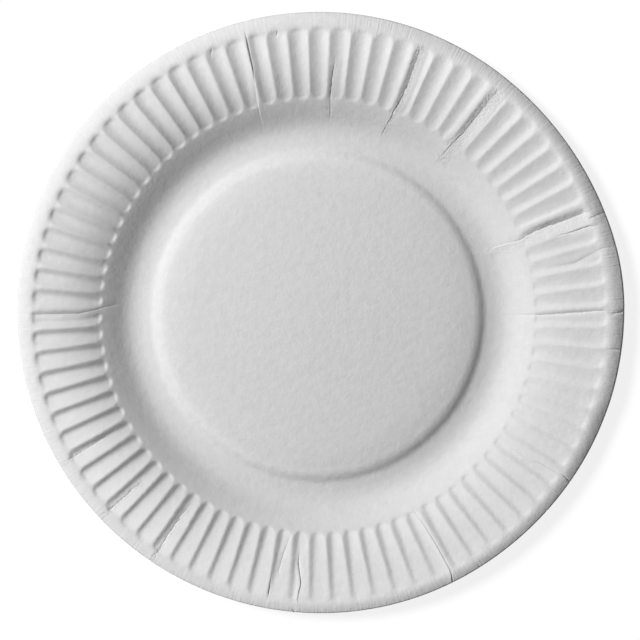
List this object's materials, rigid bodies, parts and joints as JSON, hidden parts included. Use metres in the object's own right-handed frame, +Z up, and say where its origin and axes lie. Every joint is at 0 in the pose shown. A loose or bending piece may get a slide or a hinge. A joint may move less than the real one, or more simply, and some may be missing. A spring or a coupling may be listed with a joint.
{
  "type": "paper plate",
  "caption": "Round disposable paper plate with a crowned centre, a sloping wall, a band of closed radial flutes and a rolled-down lip, creased where the board lies in folds.",
  "frame": {"origin": "middle of the round blank, on the surface that the foot ring stands on", "axes": "+Z up out of the plate's well; +X and +Y in the plane of the plate, to the right and to the top of the picture"},
  "size_m": [0.2306, 0.2284, 0.0101],
  "materials": {
    "board": "matt, uncoated, faintly fibrous"
  },
  "bodies": {
    "root": {"plate": "board"}
  },
  "joints": []
}
